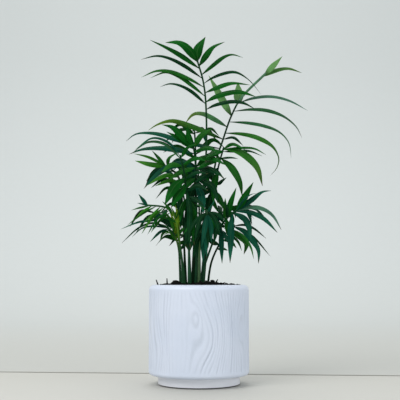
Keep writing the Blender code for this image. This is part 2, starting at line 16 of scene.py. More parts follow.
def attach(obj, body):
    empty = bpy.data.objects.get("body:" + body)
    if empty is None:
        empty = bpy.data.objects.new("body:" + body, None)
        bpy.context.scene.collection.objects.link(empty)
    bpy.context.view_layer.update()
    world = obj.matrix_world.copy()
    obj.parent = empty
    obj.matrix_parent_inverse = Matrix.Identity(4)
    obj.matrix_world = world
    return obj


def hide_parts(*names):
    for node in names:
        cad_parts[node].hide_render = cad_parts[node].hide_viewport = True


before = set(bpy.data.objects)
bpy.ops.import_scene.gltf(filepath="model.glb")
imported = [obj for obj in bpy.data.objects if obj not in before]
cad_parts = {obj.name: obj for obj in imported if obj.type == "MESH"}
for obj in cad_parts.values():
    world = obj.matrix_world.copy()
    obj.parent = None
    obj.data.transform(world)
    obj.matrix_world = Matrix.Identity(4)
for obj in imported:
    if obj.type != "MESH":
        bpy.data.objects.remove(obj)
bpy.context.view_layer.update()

MM = 0.001

# Pot
POT_WIDTH = 0.150
POT_HEIGHT = 0.1475
RIM_OPENING = 0.130
SHOULDER_DROP = 0.0075
SHOULDER_IN = 0.0085
LOWER_EDGE_ROUND = 0.0052
FOOT_WIDTH = 0.122
FOOT_HEIGHT = 0.0147
FOOT_EDGE = 0.0018
CAVITY_FLOOR = 0.022
CAVITY_TAPER = 0.004
POT_SIDES = 640
LOWER_EDGE_STEPS = 8
SHOULDER_STEPS = 14
WALL_ROWS = 84

# Wood grain: lines round the pot, half a groove's width as a share of a line, its depth and its
# fade at the wall's edges. Each line has its own share of the depth, with a mean and a spread.
GRAIN_LINES = 84
GRAIN_HALF = 0.34
GRAIN_DEPTH = 0.00130
GRAIN_FADE = 0.006
GRAIN_MEAN = 0.56
GRAIN_VARIES = 0.36
GRAIN_FAINTEST = 0.08

# How the lines sway: (scale round the pot, scale upwards, lines, offset)
GRAIN_SWAYS = ((18, 6, 1.2, 0), (60, 16, 0.5, 9))

# Eyes that they part round, as (degrees round the pot, height, half width, half height, rise in
# lines), and calm places, with the share of the depth that they take, in millimetres
GRAIN_EYES = (
    (-74, 72, 22, 44, -3.6), (-38, 88, 10, 32, 3.0), (-138, 52, 12, 34, -2.0), (-92, 102, 8, 20, -1.5),
    (-8, 60, 14, 50, 3.0), (24, 90, 14, 45, -3.4), (66, 70, 15, 50, 3.4), (112, 100, 14, 40, 3.2),
    (152, 60, 15, 46, -3.4), (-168, 95, 14, 40, 2.8),
)
GRAIN_CALMS = (
    (-112, 85, 17, 60, 0.9), (-112, 30, 12, 30, 0.3), (10, 110, 18, 50, 0.6), (90, 50, 18, 50, 0.6),
    (170, 90, 16, 50, 0.5),
)

# Soil, with lumps and fine grit as (scale, rise), and heaps as (across, depth, reach, rise) in
# millimetres
GAP = 0.0003
SOIL_EDGE = 0.1464
SOIL_MOUND = 0.0022
SOIL_SIDES = 160
SOIL_RINGS = 44
SOIL_LUMPS = ((95, 1.6), (260, 0.9))
SOIL_GRIT = (620, 0.8)
SOIL_HEAPS = ((-50, -24, 8, 3.6), (-37, -37, 6, 7.4), (-30, -39, 5, 5.2), (2, -48, 6, 4.6),
              (12, -48, 5, 5.6), (20, -44, 5, 7.4), (42, -34, 10, 2.6), (28, 20, 12, 2.0),
              (-10, 40, 14, 2.2), (-45, 15, 10, 1.8))

# Loose crumbs, and short sticks as (foot, tip, radius), in millimetres
CRUMBS = 260
CRUMB_REACH = 0.94
CRUMB_SIZES = (0.7, 2.0)
CRUMB_STRETCHES = ((0.7, 1.5), (0.6, 1.2), (0.5, 0.9))
CRUMB_ROUGHNESS = 0.35
CRUMB_LIFT = 0.15
STICKS = (((-59.5, -20, 144), (-63.5, -19, 155.0), 1.1), ((-46.5, -31, 144), (-47, -32, 157.0), 1.1),
          ((23, -43, 148), (27.5, -43, 155.5), 1.1), ((30, 35, 147), (41, 38, 151), 0.8),
          ((-20, 50, 147), (-34, 47, 151), 0.7))
STICK_SIDES = 6
STICK_TIP = 0.6

# The angles in degrees from which an edge stays sharp
POT_SHARP = 40
SOIL_SHARP = 50
CRUMB_SHARP = 60
FROND_SHARP = 70

# Stems, with how much wider they are at the sheath or at a folded tip
STEM_RADIUS = 0.0017
STEM_TIP_RADIUS = 0.0013
STEM_STEP = 0.024
STEM_FOOT = 0.115
SOIL_LINE = 152
FINE_STEP = 0.006
FINE_SIDES = 12
SHEATH_LENGTH = 0.060
SHEATH_SWELL = 0.0005
SHEATH_SWELLS = {
    "frond_middle_left": 0.0014, "frond_upper_left": 0.0012, "frond_side_left": 0.0007,
    "frond_lowest_left": 0.0003, "frond_lowest_right": 0.0001,
}
TIP_FROM = 0.80
TIP_SWELLS = {"frond_tall_back": 0.0007}
TIP_SWELL_SPAN = 0.08

# Where a stem's colour changes, as (start, span): metres above the soil, or shares of its length
SHEATH_FADE = (0.02, 0.06)
LOW_STALK_FADE = (0.045, 0.03)
STALK_FADE = (0.3, 0.4)
TIP_FADE_SPAN = 0.05

# Leaflets as their solids lie, with the bends in depth and height that a tip may have, and how many
# corners of triangles meet at the end of a solid
COURSE_STEP = 4
ROOT_SINK = 2.5
TIP_CORNERS = 18
DEPTH_STEP = 6
DEPTH_STEPS = 9
LIFTS = (0, 8, -8, 16, -16, 24)

# Leaflets as they look, with places and spans as shares of their length
LEAF_WIDTHS = (
    (0.0, 0.17), (0.05, 0.28), (0.12, 0.58), (0.22, 0.86), (0.34, 1.0), (0.48, 0.97),
    (0.62, 0.80), (0.75, 0.57), (0.86, 0.34), (0.94, 0.17), (1.0, 0.03),
)
LEAF_STEPS = 24
LEAF_ACROSS = 8
LEAF_THICKNESS = 0.00042
LEAF_FOLD = 0.24
LEAF_PLEAT = 0.05
LEAF_TWIST = 12
TWIST_PLACE = 0.2
RIPPLE = 0.07
TIP_FLATTER = 0.6
TIP_THINNER = 0.55
EDGE_THINNER = 0.75
LEAF_BRIGHTNESS = (0.88, 1.14)
BLADE_FADE = (0.35, 0.6)
DRYNESS = 0.85
SCORCH_FROM = (0.90, 1.02)
SCORCH_SPAN = 0.05

# Leaflets that are fuller, with painted shade towards the root or, by their place in the list, finer in the
# tail
FULLER_BLADES = {"frond_upper_left": 1.16, "frond_middle_right": 1.16, "frond_tall_back": 1.08}
BROAD_LEAFLET = ("frond_tall_back", 7)
BROADER = 1.25
ROOT_SHADES = {"frond_tall_front": 0.5, "frond_tall_back": 0.7}
ROOT_SHADE_REACH = 0.26
FINE_TAILS = {"frond_tall_back": {3: 0.3, 4: 0.5, 5: 0.62}, "frond_tall_front": {9: 0.6}}
TAIL_RUN = (0.42, 0.33)

# Leaf surface: veins across a blade, widths, and how much veins and midrib show
VEINS = 17.0
VEIN_WIDTH = 0.22
VEIN_SHARE = 0.38
VEIN_HUE = (0.004, 0.030, 0.008)
MIDRIB_WIDTH = 0.045
MIDRIB_SHARE = 0.22
MIDRIB_HUE = (0.110, 0.240, 0.080)
LEAF_MOTTLE = (0.78, 1.22)
DRY_TIP = (0.070, 0.052, 0.024)

# Other colours, linear
GLAZE_HUES = ((0.650, 0.715, 0.850), (0.690, 0.750, 0.880))
# Painted shade in the carved grain: the glaze is darkened towards the next hue where the grooves sink in
GROOVE_SHADE_HUE = (0.470, 0.520, 0.610)
GROOVE_SHADE_SHARE = 0.80
FOOT_HUE = (0.835, 0.855, 0.930)
# Painted contact shadow: a near-black ring round the foot's bottom edge, where the pot meets the floor
CONTACT_SHADOW_HUE = (0.080, 0.080, 0.085)
SOIL_HUES = ((0.0022, 0.0026, 0.0026), (0.0060, 0.0062, 0.0058))
FLECK_HUE = (0.026, 0.021, 0.016)

# Finishes: a leaf's look is (roughness, gloss), and a relief is (strength, distance)
NOISE_SPAN = (0.3, 0.7)
LEAF_LOOKS = {"green": (0.46, 0.035), "pale_green": (0.50, 0.04)}
PALE_FROND = "frond_tall_back"
LEAF_RELIEF = (0.45, 0.00025)
GLAZE_EDGE = 0.001
GLAZE_ROUGHNESS = (0.34, 0.44)
GLAZE_GLOSS = 0.4
GLAZE_RELIEF = (0.15, 0.0004)
SOIL_ROUGHNESS = (0.82, 0.98)
SOIL_GLOSS = 0.08
SOIL_RELIEF = (0.8, 0.0012)
STAGE_GLOSS = 0.1

# Stage surfaces: colours near and far, the depths between which they change, and roughness
STAGE_LOOKS = {
    "pale_floor": ((0.590, 0.588, 0.560), (0.530, 0.526, 0.490), (-0.6, 0.3), 0.6),
    "pale_wall": ((0.500, 0.506, 0.480), (0.690, 0.722, 0.722), (0.2, 2.8), 0.8),
    "floor_joint": ((0.26, 0.25, 0.22), (0.24, 0.23, 0.19), (0.0, 0.4), 0.9),
}

# Stage: floor and wall, and the depth of the thin joint at the left and at the right
FLOOR_REACH = 2.2
FLOOR_FRONT = 0.9
WALL_PLACE = 2.9
SWEEP = 1.3
SWEEP_STEPS = 24
JOINT_PLACES = (0.3156, -0.0556)
JOINT_WIDTH = 0.006
JOINT_REACH = 0.6
JOINT_LIFT = 0.0004

# Lights: name, place, aim, size, power, colour
LIGHTS = (
    ("key", (-1.3, -1.5, 1.9), (0.0, 0.0, 0.22), 1.6, 34.0, (1.0, 0.99, 0.97)),
    ("fill", (1.7, -1.3, 0.7), (0.0, 0.0, 0.15), 1.8, 9.5, (0.95, 0.98, 1.0)),
    ("top", (0.0, 0.9, 2.3), (0.0, 0.1, 0.2), 1.6, 16.0, (1.0, 1.0, 1.0)),
    ("wash", (0.0, 1.5, 3.0), (0.0, 2.9, 1.5), 2.2, 16.0, (1.0, 1.0, 1.0)),
)
SURROUND = (0.66, 0.68, 0.68)
SURROUND_STRENGTH = 0.92

# The eye that the front elevation is drawn for, and the camera there. The picture's width, the
# focal length and the horizon's drop below the middle are in pixels.
EYE = Vector((0.0016, -1.250, 0.156))
SENSOR_WIDTH = 36
PICTURE_WIDTH = 400
FOCAL_LENGTH = 825
HORIZON_DROP = 79

# Fronds drawn on the front elevation, in millimetres: the name, the stalk's colour, the height where
# leaflets begin, how far the tips of left and right leaflets stand off in depth, the stem as (across,
# depth, up), the leaflets, and their colours in order. A leaflet is its percentage of the leafy
# stem, its width, and the course of its middle line to the tip as (across, up).
DRAWN_FRONDS = [
    ("frond_tall_front", "green", 348, (-24, -20), [(-5, -4, 152), (-3, -5, 198), (4, -6, 258),
     (11, -8, 348), (11, -12, 415), (7, -18, 457), (-3, -28, 494)],
     [(99, 15, (-15, 510), (-32, 521), (-52, 521)), (91, 9.5, (-22, 497), (-48, 512), (-76, 525)),
      (80, 7.5, (-20, 483), (-45, 496), (-66, 500), (-90, 494)),
      (70, 7.5, (-15, 464), (-42, 475), (-66, 476), (-89, 466)),
      (60, 7, (-10, 453), (-30, 467), (-52, 474), (-75, 465)),
      (52, 7, (-10, 443), (-28, 453), (-45, 456), (-60, 451)), (100, 15.5, (-2, 510), (10, 530)),
      (94, 11, (10, 500), (22, 514), (40, 522)), (84, 8, (20, 484), (38, 498), (52, 502), (68, 497)),
      (74, 6.5, (20, 465), (40, 473), (58, 474), (78, 461), (96, 439)),
      (64, 9, (25, 449), (50, 457), (79, 454)), (54, 11, (25, 436), (45, 442), (65, 443), (89, 435)),
      (46, 8, (25, 423), (48, 428), (68, 426), (87, 416))],
     "deep deep night leaf leaf night deep deep deep night deep deep night"),
    ("frond_tall_back", "silver", 326, (14, -14), [(7, 11, 152), (11, 15, 198), (16, 20, 258),
     (24, 26, 326), (37, 31, 369), (50, 35, 406), (67, 40, 436), (103, 48, 472)],
     [(100, 10.5, (112, 482), (129, 499)), (97, 8, (118, 477), (138, 480), (159, 473)),
      (64, 6, (85, 434), (112, 436), (140, 429), (167, 414)),
      (55, 6.5, (80, 416), (106, 414), (130, 405), (149, 389), (158, 371)),
      (44, 6.5, (75, 395), (101, 390), (124, 380), (138, 363), (141, 340)),
      (33, 8.5, (65, 378), (90, 372), (112, 359), (122, 341), (119, 325), (109, 313)),
      (27, 5, (53, 372), (68, 359)), (63, 11.5, (61, 443), (60, 458)),
      (50, 12.5, (38, 428), (27, 448), (15, 469)), (39, 9, (25, 400), (7, 409), (-9, 408), (-21, 394)),
      (27, 10, (15, 379), (-12, 390), (-40, 398), (-62, 393), (-78, 383)),
      (18, 9, (2, 360), (-33, 369), (-65, 378), (-95, 378), (-112, 366)), (12, 8, (18, 344), (5, 336))],
     "pale moss mist sedge sedge ripe night pale pale honey olive teal night"),
    ("frond_upper_left", "dark", 298, (-12, -26), [(-9, -2, 152), (-8, -6, 198), (-6, -14, 258),
     (-5, -24, 308), (-6, -30, 340), (-9, -34, 360)],
     [(100, 8, (-16, 376), (-18, 390)), (99, 10, (2, 374), (20, 386)),
      (98, 11, (-28, 377), (-41, 388), (-57, 392)), (94, 8, (-31, 371), (-50, 381)),
      (82, 9, (-32, 353), (-60, 356), (-86, 354), (-107, 346)), (88, 9, (12, 356), (31, 350)),
      (65, 9.5, (-27, 333), (-50, 325), (-70, 310), (-84, 293)), (70, 9, (18, 341), (42, 329)),
      (46, 8, (-25, 320), (-46, 307)), (46, 9, (16, 324), (38, 310)), (20, 8, (-20, 298), (-34, 284)),
      (20, 9, (8, 304), (22, 295), (29, 270)), (10, 10, (-13, 282), (-17, 253)),
      (6, 10, (4, 282), (7, 254))],
     "deep leaf deep deep teal deep teal deep leaf night deep night night teal"),
    ("frond_middle_left", "green", 270, (-18, -20), [(-14, -10, 152), (-15, -16, 198), (-17, -28, 258),
     (-20, -40, 298), (-24, -50, 324), (-29, -57, 345)],
     [(100, 4.5, (-46, 364), (-72, 371), (-98, 353)), (94, 5.5, (-50, 361), (-78, 365), (-102, 348)),
      (97, 7, (-18, 356), (-4, 362)), (80, 9, (-42, 330), (-58, 317)), (82, 8, (-6, 340), (12, 335)),
      (54, 15, (-36, 298), (-45, 283), (-52, 268)), (52, 7, (-4, 318), (14, 316)),
      (37, 14, (-33, 282), (-42, 264)), (26, 9, (-2, 298), (14, 290)), (12, 9, (-26, 261), (-29, 242)),
      (15, 9, (-6, 277), (8, 267)), (2, 9, (-18, 242), (-20, 204)),
      (22, 8, (-8, 260), (-9, 226), (-7, 207)), (30, 8.5, (-14, 260), (-15, 228), (-13, 202))],
     "teal sedge deep leaf deep deep night deep night deep night night deep night"),
    ("frond_side_left", "dark", 283, (-8, -22), [(-20, 2, 152), (-22, 0, 198), (-24, -6, 248),
     (-27, -12, 290), (-31, -15, 311), (-44, -22, 324), (-53, -26, 329)],
     [(100, 10, (-75, 331), (-98, 336)), (97, 5.5, (-75, 341), (-100, 347)),
      (98, 6, (-64, 343), (-72, 352)), (94, 6, (-46, 340), (-32, 349)),
      (50, 8.5, (-49, 314), (-64, 308), (-79, 298)), (36, 7, (-45, 306), (-67, 297)),
      (60, 7, (-22, 328), (-12, 336)), (30, 8, (-16, 311), (-3, 317)), (5, 7, (-34, 285), (-38, 276)),
      (2, 8, (-12, 292), (4, 295)), (12, 9, (-29, 264), (-27, 230))],
     "fresh fresh leaf leaf fresh fresh leaf deep deep night night"),
    ("frond_low_left", "young", 234, (-14, -30), [(-22, -14, 152), (-25, -17, 179), (-28, -22, 201),
     (-31, -28, 224), (-36, -33, 248), (-50, -40, 264), (-80, -50, 268)],
     [(100, 6.5, (-85, 276), (-92, 285)), (98, 3.5, (-87, 270), (-94, 271)),
      (95, 3.5, (-90, 264), (-103, 260)), (90, 4, (-86, 258), (-96, 248)),
      (80, 4, (-86, 255), (-109, 237)), (50, 4.5, (-64, 247), (-92, 242), (-119, 231)),
      (62, 4.5, (-72, 248), (-87, 224)), (46, 4, (-64, 246), (-78, 223)), (40, 4, (-58, 246), (-73, 226)),
      (70, 4, (-70, 254), (-84, 241)), (30, 5, (-46, 264), (-56, 274)), (20, 7, (-28, 266), (-20, 279)),
      (2, 4.5, (-32, 250), (-36, 268)), (5, 4, (-28, 250), (-26, 267)), (8, 4, (-37, 254), (-43, 266)),
      (10, 5, (-45, 248), (-62, 248))],
     "teal teal leaf fresh leaf teal fresh deep leaf fresh leaf deep lime lime fresh leaf"),
    ("frond_lowest_left", "young", 194, (-12, -22), [(-28, -4, 152), (-29, -8, 179), (-31, -14, 203),
     (-38, -20, 224), (-50, -28, 235)],
     [(100, 3.5, (-68, 241), (-92, 233), (-117, 210)), (97, 3.5, (-66, 236), (-86, 233), (-102, 219)),
      (95, 4, (-59, 238), (-71, 240)), (92, 4.5, (-58, 228), (-74, 212)),
      (85, 4.5, (-54, 226), (-59, 213)), (68, 5, (-41, 241), (-54, 261)),
      (62, 4.5, (-37, 239), (-46, 262)), (56, 4.5, (-34, 236), (-38, 258)),
      (52, 4, (-48, 234), (-66, 241)), (46, 4.5, (-31, 230), (-30, 253)), (58, 6, (-26, 230), (-17, 238)),
      (42, 4, (-44, 226), (-54, 222)), (34, 8, (-20, 211), (-15, 197)),
      (10, 6.5, (-22, 208), (-10, 224))],
     "night teal night teal leaf fresh lime lime leaf lime leaf fresh deep night"),
    ("frond_middle_right", "blue", 288, (-24, -18), [(4, 2, 152), (8, -2, 198), (13, -8, 248),
     (20, -14, 283), (26, -17, 304), (30, -20, 328), (38, -26, 357)],
     [(99, 11, (56, 353), (75, 342), (90, 324), (97, 297)), (78, 10, (50, 326), (62, 304), (66, 281)),
      (97, 4.5, (60, 356), (84, 355), (103, 345)), (93, 4.5, (60, 351), (78, 351), (97, 343)),
      (78, 4, (48, 341), (60, 339)), (100, 6, (52, 362), (71, 353)), (95, 10, (25, 350), (11, 340)),
      (80, 9, (14, 333), (-4, 323)), (55, 9, (12, 315), (-7, 302)), (50, 9, (23, 298), (22, 270)),
      (18, 7, (32, 303), (42, 310)), (22, 9, (10, 288), (-4, 278)), (5, 9, (32, 276), (39, 260)),
      (10, 10, (15, 268), (12, 238))],
     "ripe dusk deep night night deep deep deep night deep night night deep night"),
    ("frond_low_right", "green", 220, (-26, -16), [(6, -8, 152), (8, -12, 174), (15, -18, 195),
     (25, -24, 220), (40, -32, 245), (59, -40, 261)],
     [(99, 11.5, (69, 280), (83, 303)), (66, 9, (47, 268), (57, 295)),
      (100, 9, (81, 277), (96, 288), (110, 290)), (97, 4, (69, 277), (79, 284), (88, 286)),
      (100, 7, (80, 265), (98, 262), (113, 251), (125, 230)), (96, 8.5, (76, 258), (99, 247), (119, 226)),
      (92, 10, (69, 248), (76, 234), (79, 213)), (55, 7, (40, 263), (40, 279)),
      (62, 8, (43, 236), (44, 219)), (35, 7, (18, 245), (8, 260)),
      (84, 10.5, (49, 240), (48, 212), (47, 180)), (10, 7, (12, 230), (4, 240)),
      (32, 8, (34, 212), (35, 179)), (48, 7.5, (28, 234), (22, 208)), (44, 5.5, (33, 256), (25, 268)),
      (64, 5, (42, 266), (31, 279)), (24, 6.5, (37, 226), (45, 210))],
     "deep deep teal teal mist teal teal leaf deep deep teal night teal night night night teal"),
    ("frond_lowest_right", "dark", 194, (-14, -12), [(14, -2, 152), (16, -5, 168), (20, -9, 185),
     (29, -14, 205), (40, -18, 224), (54, -24, 238)],
     [(99, 4.5, (69, 238), (84, 232), (102, 217)), (98, 10, (68, 229), (80, 216), (90, 200), (90, 179)),
      (80, 11, (62, 221), (72, 210), (68, 193)), (70, 4.5, (58, 214), (65, 198)),
      (88, 5, (66, 222), (78, 205), (83, 186)), (100, 4, (82, 220), (108, 190)),
      (95, 7, (50, 251), (44, 262)), (60, 9, (27, 230), (20, 244)), (45, 7, (47, 214), (57, 202)),
      (30, 9, (20, 213), (12, 224)), (15, 5.5, (35, 202), (44, 199))],
     "night teal dusk deep leaf night deep deep leaf night deep"),
    ("frond_centre", "straw", 213, (-10, -10), [(0, -14, 152), (1, -22, 198), (5, -36, 234),
     (10, -54, 254), (12, -72, 260), (12, -88, 254)],
     [(100, 7.5, (9, 234), (4, 204)), (98, 7.5, (18, 238), (19, 210)), (88, 7, (1, 244), (-6, 215)),
      (85, 7.5, (23, 249), (32, 224)), (72, 7, (-4, 246), (-15, 225)), (70, 7, (26, 256), (42, 241)),
      (56, 7.5, (-10, 241), (-25, 222)), (50, 7, (13, 234), (14, 202)), (36, 7.5, (-6, 224), (-14, 197)),
      (30, 7, (10, 214), (12, 187)), (18, 7.5, (-4, 210), (-9, 187)), (12, 7, (6, 206), (6, 181)),
      (62, 7, (18, 266), (25, 277)), (44, 7, (-4, 260), (-15, 279)), (24, 7, (1, 212), (-2, 185)),
      (80, 6.5, (4, 266), (-6, 270)), (6, 7, (-2, 226), (-10, 238))],
     "teal teal night night night night deep night night teal night teal teal night night deep night"),
]

# The way that leaflets face: to the front, or on one frond upwards
FACING_FRONT = (0.0, -0.88, 0.47)
FACING_UP = (0.0, -0.60, 0.80)
FACES_UP = "frond_centre"

# Fronds that arch away by rule: the name, the foot as (across, depth), the heading in degrees (0 is
# away from the viewer, 90 to the right), how far out and how high the tip comes, the bare share of
# the stem, the leaflet pairs and their longest length
ARCHING_FRONDS = [
    ("frond_back_high", (-3, 20), -6, 58, 383, 0.58, 6, 58),
    ("frond_back_left", (-14, 16), -22, 92, 320, 0.50, 6, 54),
    ("frond_back_right", (1, 22), -2, 98, 324, 0.50, 6, 38),
    ("frond_back_low_left", (-24, 14), -38, 68, 256, 0.42, 5, 48),
    ("frond_back_low_right", (6, 20), 52, 79, 265, 0.44, 5, 50),
    ("frond_back_low", (-6, 28), 4, 84, 248, 0.42, 5, 56),
]

# The stem of an arching frond, as shares of how far out and how high it has come
ARCH_STEM = ((0.0, 0.0), (0.06, 0.38), (0.26, 0.76), (0.60, 0.98), (1.0, 1.0))

# Its leaflets: the first pair's place in a spacing, the stagger within a pair, the splay near the
# soil and its growth, the shortest length as a share of the longest, the width, the bow and its
# place, the droop, and how much a leaflet faces ahead, up and outwards
ARCH_FIRST = 0.3
ARCH_STAGGER = 0.012
ARCH_SPLAY = (22, 34)
ARCH_SHORTEST = 0.74
ARCH_WIDTH = 10
ARCH_BOW = 14
ARCH_BOW_PLACE = 0.58
ARCH_DROOP = 24
ARCH_FACING = (0.62, 0.78, 0.2)
ARCH_VARIES = {"splay": 5, "length": 0.07, "droop": 7, "bow": 3, "width": 1}
BACK_TINTS = ("deep", "night", "teal", "deep")

# Leaf colours, linear and in thousandths: the blade and its tip. Two tints paint light into a leaflet: a
# painted sheen, and a painted glow of light shining through from behind.
LEAF_COLOURS = {
    "deep": ((2, 71, 5), (3, 84, 7)),
    "night": ((1, 31, 9), (2, 40, 12)),
    "leaf": ((9, 98, 9), (20, 125, 16)),
    "fresh": ((22, 150, 9), (50, 190, 18)),
    "teal": ((2, 56, 32), (7, 85, 48)),
    "honey": ((55, 185, 68), (105, 165, 26)),
    # A painted glow: the pale tint stands in for light shining through a leaflet from behind
    "pale": ((105, 250, 80), (120, 275, 85)),
    "moss": ((70, 205, 45), (60, 125, 28)),
    "olive": ((14, 85, 8), (78, 150, 9)),
    "lime": ((155, 310, 14), (190, 340, 20)),
    "ripe": ((24, 140, 16), (36, 85, 13)),
    "dusk": ((12, 100, 12), (6, 50, 4)),
    # A painted sheen: the grey-green of a glossy leaflet catching the light
    "mist": ((50, 140, 88), (60, 150, 105)),
    "sedge": ((24, 110, 40), (40, 98, 52)),
}

# Stalk colours, likewise: at the soil, above the sheath, along the leaves, and at the tip
STALK_COLOURS = {
    "green": ((18, 78, 36), (10, 74, 28), (6, 44, 14), (6, 44, 14)),
    "dark": ((8, 30, 12), (6, 32, 12), (4, 30, 10), (4, 36, 12)),
    "blue": ((10, 52, 32), (6, 50, 30), (4, 36, 18), (4, 36, 18)),
    "straw": ((85, 165, 75), (90, 165, 50), (12, 60, 18), (8, 50, 14)),
    "young": ((14, 64, 24), (24, 88, 24), (110, 240, 20), (20, 85, 30)),
    "silver": ((10, 46, 22), (8, 44, 18), (8, 40, 16), (85, 205, 110)),
}


def seen(point):
    """Carries (across, depth, up) of the front elevation to where the eye sees it at that depth."""
    flat = Vector((point.x, 0.0, point.z)) * MM
    return EYE + (flat - EYE) * ((point.y * MM - EYE.y) / -EYE.y)


def quarter(centre, start, radii, steps):
    """Points of a quarter round from an angle in degrees on, with a radius across and one up."""
    points = []
    for i in range(steps + 1):
        angle = radians(start + 90 * i / steps)
        points.append((centre[0] + radii[0] * cos(angle), centre[1] + radii[1] * sin(angle)))
    return points


def pot_profile():
    """Half section of the pot, from its underside to its cavity: (radius, height, share of grain)."""
    wall = POT_WIDTH / 2
    foot = FOOT_WIDTH / 2
    opening = RIM_OPENING / 2
    bottom = FOOT_HEIGHT + LOWER_EDGE_ROUND
    top = POT_HEIGHT - SHOULDER_DROP
    lower = quarter((wall - LOWER_EDGE_ROUND, bottom), -90, (LOWER_EDGE_ROUND,) * 2, LOWER_EDGE_STEPS)
    shoulder = quarter((wall - SHOULDER_IN, top), 0, (SHOULDER_IN, SHOULDER_DROP), SHOULDER_STEPS)
    below = [(0.0, 0.0), (foot - FOOT_EDGE, 0.0), (foot, FOOT_EDGE), (foot, FOOT_HEIGHT), *lower]
    lip = (opening, POT_HEIGHT - (wall - SHOULDER_IN - opening))
    inside = [lip, (opening - CAVITY_TAPER, CAVITY_FLOOR), (0.0, CAVITY_FLOOR)]
    rows = [(*point, 0.0) for point in below]
    for i in range(1, WALL_ROWS):
        level = bottom + (top - bottom) * i / WALL_ROWS
        rows.append((wall, level, min(1.0, (level - bottom) / GRAIN_FADE, (top - level) / GRAIN_FADE)))
    return rows + [(*point, 0.0) for point in (*shoulder, *inside)]


def curve_through(points, step):
    """Points along a smooth curve through the given ones, about one step apart."""
    guide = [points[0] * 2 - points[1], *points, points[-1] * 2 - points[-2]]
    out = []
    for a, b, c, d in zip(guide, guide[1:], guide[2:], guide[3:]):
        pieces = max(1, round((c - b).length / step))
        for i in range(pieces):
            t = i / pieces
            out.append(
                (b * 2 + (c - a) * t + (a * 2 - b * 5 + c * 4 - d) * t**2
                 + (b * 3 - a - c * 3 + d) * t**3) * 0.5
            )
    return [*out, points[-1]]


def length_of(line):
    """Length of a line."""
    return sum((b - a).length for a, b in zip(line, line[1:]))


def point_at(line, distance):
    """Point at a distance along a line."""
    for a, b in zip(line, line[1:]):
        span = (b - a).length
        if distance <= span:
            return a.lerp(b, distance / span)
        distance -= span
    return line[-1]


def along(line, share):
    """Point at a share of a stem's length, where its end is left for roots to sink into."""
    return point_at(line, share * (length_of(line) - ROOT_SINK))


def above(line, height):
    """The part of a rising line from a given height on."""
    for i, (a, b) in enumerate(zip(line, line[1:])):
        if b.z > height:
            return [a.lerp(b, max(0.0, (height - a.z) / (b.z - a.z))), *line[i + 1 :]]
    return line[-2:]


def directions(line):
    """Unit tangent at each point of a line."""
    ends = zip([line[0], *line[:-1]], [*line[1:], line[-1]])
    return [(after - before).normalized() for before, after in ends]


def turns(count):
    """Angles in even steps, once round."""
    return [tau * i / count for i in range(count)]


def rings_along(line, radii, sides):
    """Rings of points round a line, one at each of its points."""
    across = Vector((1.0, 0.0, 0.0))
    for point, tangent, radius in zip(line, directions(line), radii):
        across = (across - tangent * across.dot(tangent)).normalized()
        other = tangent.cross(across)
        yield [point + (across * cos(a) + other * sin(a)) * radius for a in turns(sides)]


def closed_faces(start, rings, sides):
    """Faces that join rings of points by quads and close both ends."""
    faces = []
    end = start + (rings - 1) * sides
    for ring in range(start, end, sides):
        for side in range(sides):
            a, b = ring + side, ring + (side + 1) % sides
            faces.append((a, b, b + sides, a + sides))
    return [*faces, tuple(range(start + sides - 1, start - 1, -1)), tuple(range(end, end + sides))]


def tube(line, radii, sides):
    """Points and faces of a closed tube along a line."""
    vertices = [point for ring in rings_along(line, radii, sides) for point in ring]
    return vertices, closed_faces(0, len(line), sides)


def leaflet_line(row, shift, shares):
    """Middle line of a leaflet: shares of its length along its course, with its tip shifted."""
    root, tip = row["root"], row["course"][-1]
    whole = (tip - root).length
    course = [point + shift * ((point - root).length / whole) for point in row["course"]]
    line = curve_through([root, *course], COURSE_STEP)
    length = length_of(line)
    return [seen(point_at(line, length * share)) for share in shares]


def new_frond(name, guide, leaflets, stalk="green", tints=""):
    """A frond: its stem in metres from deep in the soil to its tip, its leaflets and its colours."""
    line = [seen(p) for p in curve_through(guide, FINE_STEP / MM)]
    stem = [Vector((line[0].x, line[0].y, STEM_FOOT)), *line]
    return {"name": name, "stem": stem, "leaflets": leaflets, "stalk": stalk, "tints": tints}


def lay_out_drawn(name, stalk, leafy_from, reach, stem, leaflets, tints):
    """Works out a frond that is drawn on the elevation."""
    guide = [Vector(p) for p in stem]
    leafy = above(curve_through(guide, STEM_STEP / MM), leafy_from)
    face = Vector(FACING_UP if name == FACES_UP else FACING_FRONT)
    rows = []
    for percent, width, *places in leaflets:
        root = along(leafy, percent / 100)
        tip = places[-1]
        whole = dist(tip, (root.x, root.z))
        off = reach[0 if tip[0] < root.x else 1]
        course = []
        for across, up in places:
            depth = root.y + off * dist((across, up), (root.x, root.z)) / whole
            course.append(Vector((across, depth, up)))
        rows.append({"root": root, "course": course, "width": width * MM, "face": face})
    return new_frond(name, guide, rows, stalk, tints)


